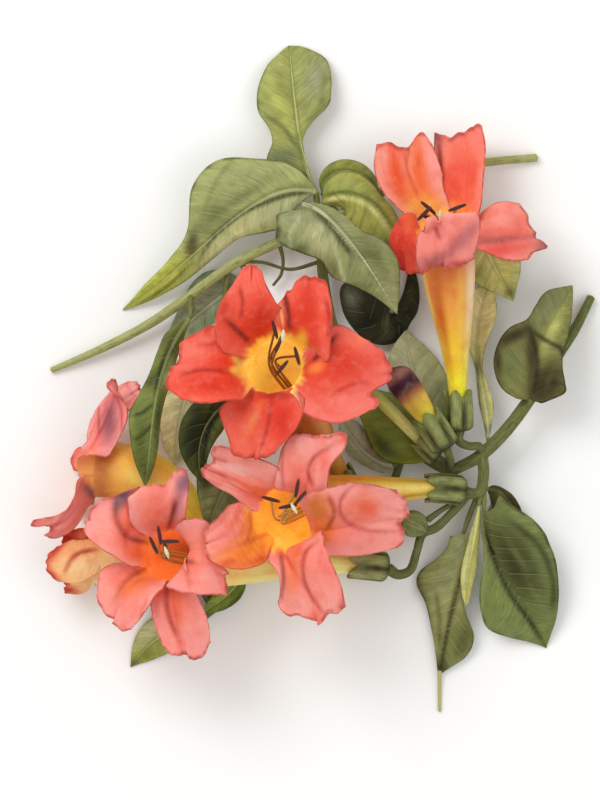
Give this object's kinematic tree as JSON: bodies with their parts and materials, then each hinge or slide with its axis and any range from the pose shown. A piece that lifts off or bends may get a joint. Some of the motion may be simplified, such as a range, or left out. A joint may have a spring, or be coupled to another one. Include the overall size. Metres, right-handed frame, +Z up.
{
  "type": "flowering vine spray",
  "caption": "Cut spray of a red trumpet vine: lobed trumpet flowers, buds, waved leaves and a woody stem, lying flat.",
  "frame": {"origin": "centre of the spray in X and Y, on the surface that it lies on", "axes": "+Y along the spray's long side, from the hanging tendril to the top leaf; +X across it; +Z up from the surface"},
  "size_m": [0.201, 0.2332, 0.0623],
  "materials": {
    "bark": "matt olive-green young wood, a little ribbed",
    "leafLight": "satin yellow-green leaf with pale veins",
    "leafGreen": "satin grey-green leaf with pale veins",
    "leafDeep": "satin dark green leaf",
    "leafPale": "matt pale grey-green leaf",
    "leafBronze": "satin brown-green leaf",
    "petalRed": "soft blood-red petal with a yellow throat",
    "petalPink": "soft salmon-pink petal, orange-red inside, with a yellow tube",
    "filament": "pale yellow filaments with dark maroon anthers",
    "bud": "yellow-green closed bud with a purple-black tip"
  },
  "bodies": {
    "root": {"stem": "bark", "leaf_top": "leafLight", "leaf_upper_left": "leafGreen", "leaf_upper_front": "leafGreen", "leaf_upper_back": "leafLight", "leaf_upper_far": "leafDeep", "leaf_dark": "leafDeep", "leaf_behind_trumpet": "leafPale", "leaf_beside_trumpet": "leafPale", "leaf_under_petal": "leafLight", "leaf_right": "leafBronze", "leaf_lower_left": "leafGreen", "leaf_lower_strip": "leafLight", "leaf_lower_right": "leafGreen", "leaf_lower_back": "leafBronze", "leaf_left_hanging": "leafDeep", "leaf_left_pale": "leafPale", "leaf_centre_left": "leafDeep", "leaf_centre_low": "leafDeep", "leaf_centre_right": "leafDeep", "leaf_centre_pale": "leafPale", "leaf_under_vine": "leafPale", "leaf_bottom_left": "leafLight", "leaf_bottom_middle": "leafLight", "corolla_upright": "petalPink", "stamens_upright": "filament", "corolla_red": "petalRed", "stamens_red": "filament", "corolla_low": "petalPink", "stamens_low": "filament", "corolla_lower_left": "petalPink", "stamens_lower_left": "filament", "corolla_far_left": "petalPink", "stamens_far_left": "filament", "corolla_half_open": "petalPink", "stamens_half_open": "filament", "bud": "bud", "young_bud": "bud"}
  },
  "joints": []
}
